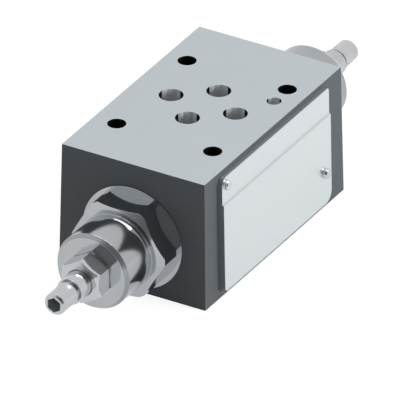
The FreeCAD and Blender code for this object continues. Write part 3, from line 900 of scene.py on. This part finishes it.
@dataclass
class NamePlate:
    """Bare sheet on the front side, held by two flat-topped rivets."""

    shop: Workshop
    edge: float = 0.05 * MM
    head_diameter: float = 3.0 * MM
    head_height: float = 1.4 * MM
    roundness: float = 0.35
    step: float = 0.5 * MM
    draft: float = 1.0
    segments: int = 48
    rings: int = 32
    # Shares of a unit normal: a cut edge has less than this along Y, and a bend more along Z.
    edge_share: float = 0.3
    bend_share: float = 0.3

    def build(self) -> None:
        """Make the sheet, with painted shade on its cut edges and its bend, and its rivets."""
        finishes = self.shop.finishes
        materials = in_order({
            SheetFace.FIELD: finishes.sheet,
            # Painted shade: the cut edges take the lighter casting copy, darker than the sheet.
            SheetFace.CUT_EDGE: finishes.ledge,
            # Painted shade: the bend takes a darker copy of the sheet.
            SheetFace.BEND: finishes.bend,
        })
        piece = self.shop.refine("name_plate", "plate_sheet", "plate", materials, self.edge, split=True)
        for face in piece.data.polygons:
            face.material_index = self._part(face.normal).value
        self._rivets()

    def _part(self, normal: Vector) -> SheetFace:
        """Part of the sheet that a face belongs to.

        Args:
            normal: The face's normal.

        Returns:
            The part.
        """
        # Painted shade on the cut edges and the bend.
        if abs(normal.y) < self.edge_share:
            return SheetFace.CUT_EDGE
        return SheetFace.BEND if abs(normal.z) > self.bend_share else SheetFace.FIELD

    def _rivets(self) -> None:
        """Rivet heads on two points: balls squared up to a flat top and a straight wall."""
        low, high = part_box("plate_rivets")
        plate_low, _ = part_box("name_plate")
        radius = self.head_diameter / 2
        draft = math.radians(self.draft)
        slope = math.tan(draft)
        # The left rivet stands on the strip that is set back, the right one on the proud field.
        left_z = high.z - radius - self.head_height * math.sin(draft)
        right_z = low.z + radius
        left_y = plate_low.y + (left_z - plate_low.z) * slope + self.step
        right_y = plate_low.y + (right_z - plate_low.z) * slope
        tree = GeometryTree("rivet_heads")
        places = tree.add_point_pair(
            ("First Place", (low.x + radius, left_y, left_z)),
            ("Second Place", (high.x - radius, right_y, right_z)),
        )
        heads = tree.add("GeometryNodeInstanceOnPoints", {
            "Points": places,
            "Instance": self._head(tree),
            "Rotation": tree.add_input("Lean", "NodeSocketRotation", (math.pi / 2 - draft, 0.0, 0.0)),
            "Scale": tree.add_input("Head Size", "NodeSocketVector", (radius, radius, self.head_height)),
        })
        tree.finish(heads.outputs["Instances"], self.shop.finishes.rivet)
        piece = tree.make_piece("rivet_heads")
        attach(piece, "housing")
        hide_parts("plate_rivets")
        self.shop.note(piece, "housing")

    def _head(self, tree: GeometryTree) -> bpy.types.NodeSocket:
        """Rivet head of radius and height 1, its foot at the origin.

        Args:
            tree: The tree that it is made in.

        Returns:
            The geometry socket.
        """
        ball = tree.add("GeometryNodeMeshUVSphere", values={
            "Segments": self.segments, "Rings": self.rings, "Radius": 1.0,
        })
        where = tree.add("GeometryNodeInputPosition")
        split = tree.add("ShaderNodeSeparateXYZ", {"Vector": where.outputs["Position"]})
        roundness = tree.add_input("Edge Roundness", "NodeSocketFloat", self.roundness)
        above = tree.add("ShaderNodeMath", {0: split.outputs["Z"]}, {1: 0.0}, operation="MAXIMUM")
        top = tree.add("ShaderNodeMath", {0: above.outputs["Value"], 1: roundness}, operation="POWER")
        across = tree.add("ShaderNodeCombineXYZ", {"X": split.outputs["X"], "Y": split.outputs["Y"]})
        unit = tree.add("ShaderNodeVectorMath", {0: across.outputs["Vector"]}, operation="NORMALIZE")
        reach = tree.add("ShaderNodeVectorMath", {0: across.outputs["Vector"]}, operation="LENGTH")
        wall = tree.add("ShaderNodeMath", {0: reach.outputs["Value"], 1: roundness}, operation="POWER")
        spread = tree.add("ShaderNodeVectorMath", {
            0: unit.outputs["Vector"], "Scale": wall.outputs["Value"],
        }, operation="SCALE")
        flat = tree.add("ShaderNodeSeparateXYZ", {"Vector": spread.outputs["Vector"]})
        joined = tree.add("ShaderNodeCombineXYZ", {
            "X": flat.outputs["X"], "Y": flat.outputs["Y"], "Z": top.outputs["Value"],
        })
        squared = tree.add("GeometryNodeSetPosition", {
            "Geometry": ball.outputs["Mesh"], "Position": joined.outputs["Vector"],
        })
        return squared.outputs["Geometry"]


@dataclass
class PortSeals:
    """Four rubber rings in the base face."""

    shop: Workshop
    wire_radius: float = 0.63 * MM
    ring_radius: float = 5.72 * MM
    height: float = 0.65 * MM
    ports_ab: tuple[float, float] = (-8.8 * MM, 8.7 * MM)
    ports_pt: tuple[float, float] = (-10.4 * MM, 10.4 * MM)
    ring_points: int = 72
    wire_points: int = 16

    def build(self) -> None:
        """Make the rings on the points of the port pattern."""
        tree = GeometryTree("port_seals")
        a, b = self.ports_ab
        p, t = self.ports_pt
        lines = [
            tree.add_point_pair(("Port A", (a, 0.0, self.height)), ("Port B", (b, 0.0, self.height))),
            tree.add_point_pair(("Port P", (0.0, p, self.height)), ("Port T", (0.0, t, self.height))),
        ]
        points = tree.add("GeometryNodeJoinGeometry")
        for line in lines:
            tree.tree.links.new(line, points.inputs["Geometry"])
        circle = tree.add("GeometryNodeCurvePrimitiveCircle", {
            "Radius": tree.add_input("Ring Radius", "NodeSocketFloat", self.ring_radius),
        }, {"Resolution": self.ring_points})
        wire = tree.add("GeometryNodeCurvePrimitiveCircle", {
            "Radius": tree.add_input("Wire Radius", "NodeSocketFloat", self.wire_radius),
        }, {"Resolution": self.wire_points})
        ring = tree.add("GeometryNodeCurveToMesh", {
            "Curve": circle.outputs["Curve"], "Profile Curve": wire.outputs["Curve"],
        })
        rings = tree.add("GeometryNodeInstanceOnPoints", {
            "Points": points.outputs["Geometry"], "Instance": ring.outputs["Mesh"],
        })
        tree.finish(rings.outputs["Instances"], self.shop.finishes.rubber)
        piece = tree.make_piece("port_seals")
        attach(piece, "housing")
        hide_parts("port_seal_rings")
        self.shop.note(piece, "housing")


@dataclass
class Cartridge:
    """Screw-in cartridge: head, end cap, lock nut and spindle, and the pieces inside."""

    shop: Workshop
    side: Side
    edge: float = 0.08 * MM
    chamfer_radius: float = 10.0 * MM
    # Shares of a unit normal along X: the cap's end has more than the first, its wall less than both.
    end_share: float = 0.8
    chamfer_share: float = 0.3
    socket_radius: float = 2.32 * MM
    socket_depth: float = 4.0 * MM
    depth_slack: float = 0.01 * MM

    def build(self) -> None:
        """Refine the pieces that show and dress those inside."""
        finishes = self.shop.finishes
        end = self.side.value
        cap_materials = in_order({
            CapFace.END: finishes.cap,
            CapFace.CHAMFER: finishes.chamfer,
            CapFace.WALL: finishes.cap_wall,
        })
        stem_materials = in_order({StemFace.OUTSIDE: finishes.spindle, StemFace.SOCKET: finishes.socket})
        shown = [
            ("cartridge_body", "hexagon_head", "plated_steel", [finishes.plated]),
            ("end_cap", "cap", "plated_steel", cap_materials),
            ("lock_nut", "nut", "nut_steel", [finishes.nut]),
            ("adjusting_spindle", "stem", "spindle_steel", stem_materials),
        ]
        pieces = {
            name: self.shop.refine(f"{node}_{end}", f"{name}_{end}", slot, materials, self.edge)
            for node, name, slot, materials in shown
        }
        self._mark_cap(pieces["cap"])
        self._mark_socket(pieces["stem"])
        inside = {
            "body_seal_ring": finishes.rubber,
            "nose_seal_ring": finishes.rubber,
            "spindle_seal_ring": finishes.rubber,
            "nose_backup_ring": finishes.backup,
            "valve_seat": finishes.hardened,
            "poppet": finishes.hardened,
            "spring_plate": finishes.hardened,
            "pressure_spring": finishes.spring,
        }
        for node, material in inside.items():
            self.shop.dress(f"{node}_{end}", material)

    def _mark_cap(self, cap: bpy.types.Object) -> None:
        """Give the cap's turned wall and the chamfer round its end darker copies of its plated steel, as
        painted shade.

        Args:
            cap: The end cap's piece.
        """
        for face in cap.data.polygons:
            share = abs(face.normal.x)
            if from_axis(face.center) > self.chamfer_radius and share < self.end_share:
                # Painted shade on the chamfer and the wall.
                part = CapFace.CHAMFER if share > self.chamfer_share else CapFace.WALL
                face.material_index = part.value

    def _mark_socket(self, stem: bpy.types.Object) -> None:
        """Give the walls and floor of the spindle's hexagon socket a duller copy of its steel, as painted
        light.

        Args:
            stem: The spindle's piece.
        """
        low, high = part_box(f"adjusting_spindle_{self.side.value}")
        for face in stem.data.polygons:
            depth = high.x - face.center.x if self.side is Side.B else face.center.x - low.x
            below_end = self.depth_slack < depth < self.socket_depth + self.depth_slack
            if below_end and from_axis(face.center) < self.socket_radius:
                # Painted light in the socket.
                face.material_index = StemFace.SOCKET.value


def in_order(finish_of: dict[Enum, bpy.types.Material]) -> list[bpy.types.Material]:
    """Materials in the order of the numbers of the faces that they are for."""
    return [finish_of[kind] for kind in sorted(finish_of, key=lambda kind: kind.value)]


def from_axis(point: Vector) -> float:
    """Distance of a point from the cartridge axis, in metres."""
    return math.hypot(point.y, point.z - AXIS_HEIGHT)


def main() -> None:
    """Build the studio and the valve, piece by piece."""
    logging.basicConfig(level=logging.INFO, format="%(name)s: %(message)s")
    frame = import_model()
    Studio().build()
    shop = Workshop(frame["nodes"], Finishes.make())
    Block(shop).build()
    NamePlate(shop).build()
    PortSeals(shop).build()
    for side in Side:
        Cartridge(shop, side).build()
    LOG.info("%d pieces", len(shop.pieces))


if __name__ == "__main__":
    main()
